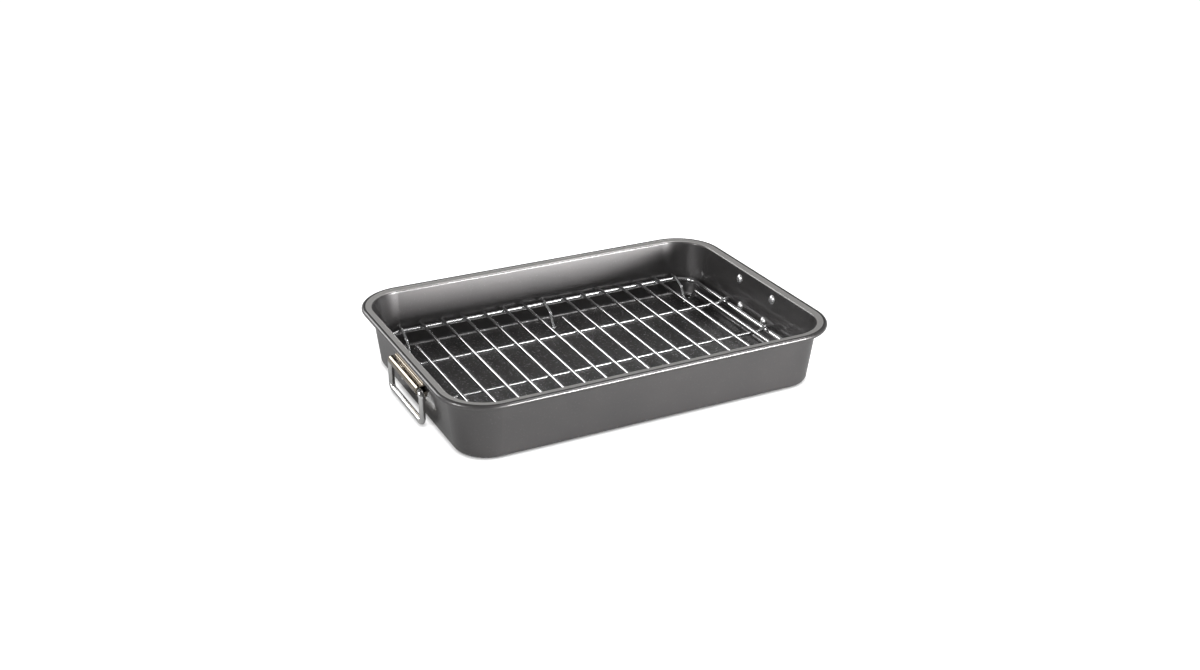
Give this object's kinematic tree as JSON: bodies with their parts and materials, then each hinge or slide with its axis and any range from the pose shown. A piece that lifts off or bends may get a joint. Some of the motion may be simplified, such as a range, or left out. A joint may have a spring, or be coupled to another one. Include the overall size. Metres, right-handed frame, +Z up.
{
  "type": "roasting pan",
  "caption": "Rectangular non-stick roasting pan with a rolled rim, a loose wire rack on bent wire feet, and a swinging wire handle in a riveted bracket at each end.",
  "frame": {"origin": "middle of the pan's flat underside", "axes": "+X along the pan's length towards the right handle, +Y across it towards its back side, +Z up"},
  "size_m": [0.4064, 0.287, 0.062],
  "materials": {
    "nonstick_steel": "semi-gloss dark grey non-stick coating",
    "bracket_chrome": "polished",
    "rivet_steel": "satin",
    "handle_chrome": "polished",
    "rack_chrome": "bright plated"
  },
  "bodies": {
    "pan": {"pan_body": "nonstick_steel", "bracket_left": "bracket_chrome", "bracket_right": "bracket_chrome", "rivets_left": "rivet_steel", "rivets_right": "rivet_steel"},
    "rack": {"rack_frame": "rack_chrome", "rack_rail_front": "rack_chrome", "rack_rail_back": "rack_chrome", "cross_wire_01": "rack_chrome", "cross_wire_02": "rack_chrome", "cross_wire_03": "rack_chrome", "cross_wire_04": "rack_chrome", "cross_wire_05": "rack_chrome", "cross_wire_06": "rack_chrome", "cross_wire_07": "rack_chrome", "cross_wire_08": "rack_chrome", "cross_wire_09": "rack_chrome", "cross_wire_10": "rack_chrome", "cross_wire_11": "rack_chrome", "cross_wire_12": "rack_chrome", "cross_wire_13": "rack_chrome", "cross_wire_14": "rack_chrome", "cross_wire_15": "rack_chrome"},
    "handle_left": {"handle_left": "handle_chrome"},
    "handle_right": {"handle_right": "handle_chrome"}
  },
  "joints": [
    {"name": "handle_left_swing", "type": "hinge", "parent": "pan", "child": "handle_left", "pos_m": [-0.19612, 0, 0.03481], "axis": [0, 1, 0], "range_deg": [-11, 154]},
    {"name": "handle_right_swing", "type": "hinge", "parent": "pan", "child": "handle_right", "pos_m": [0.19612, 0, 0.03481], "axis": [0, -1, 0], "range_deg": [-11, 154]},
    {"name": "rack_lift", "type": "slide", "parent": "pan", "child": "rack", "axis": [0, 0, 1], "range_m": [0, 0.1]}
  ]
}
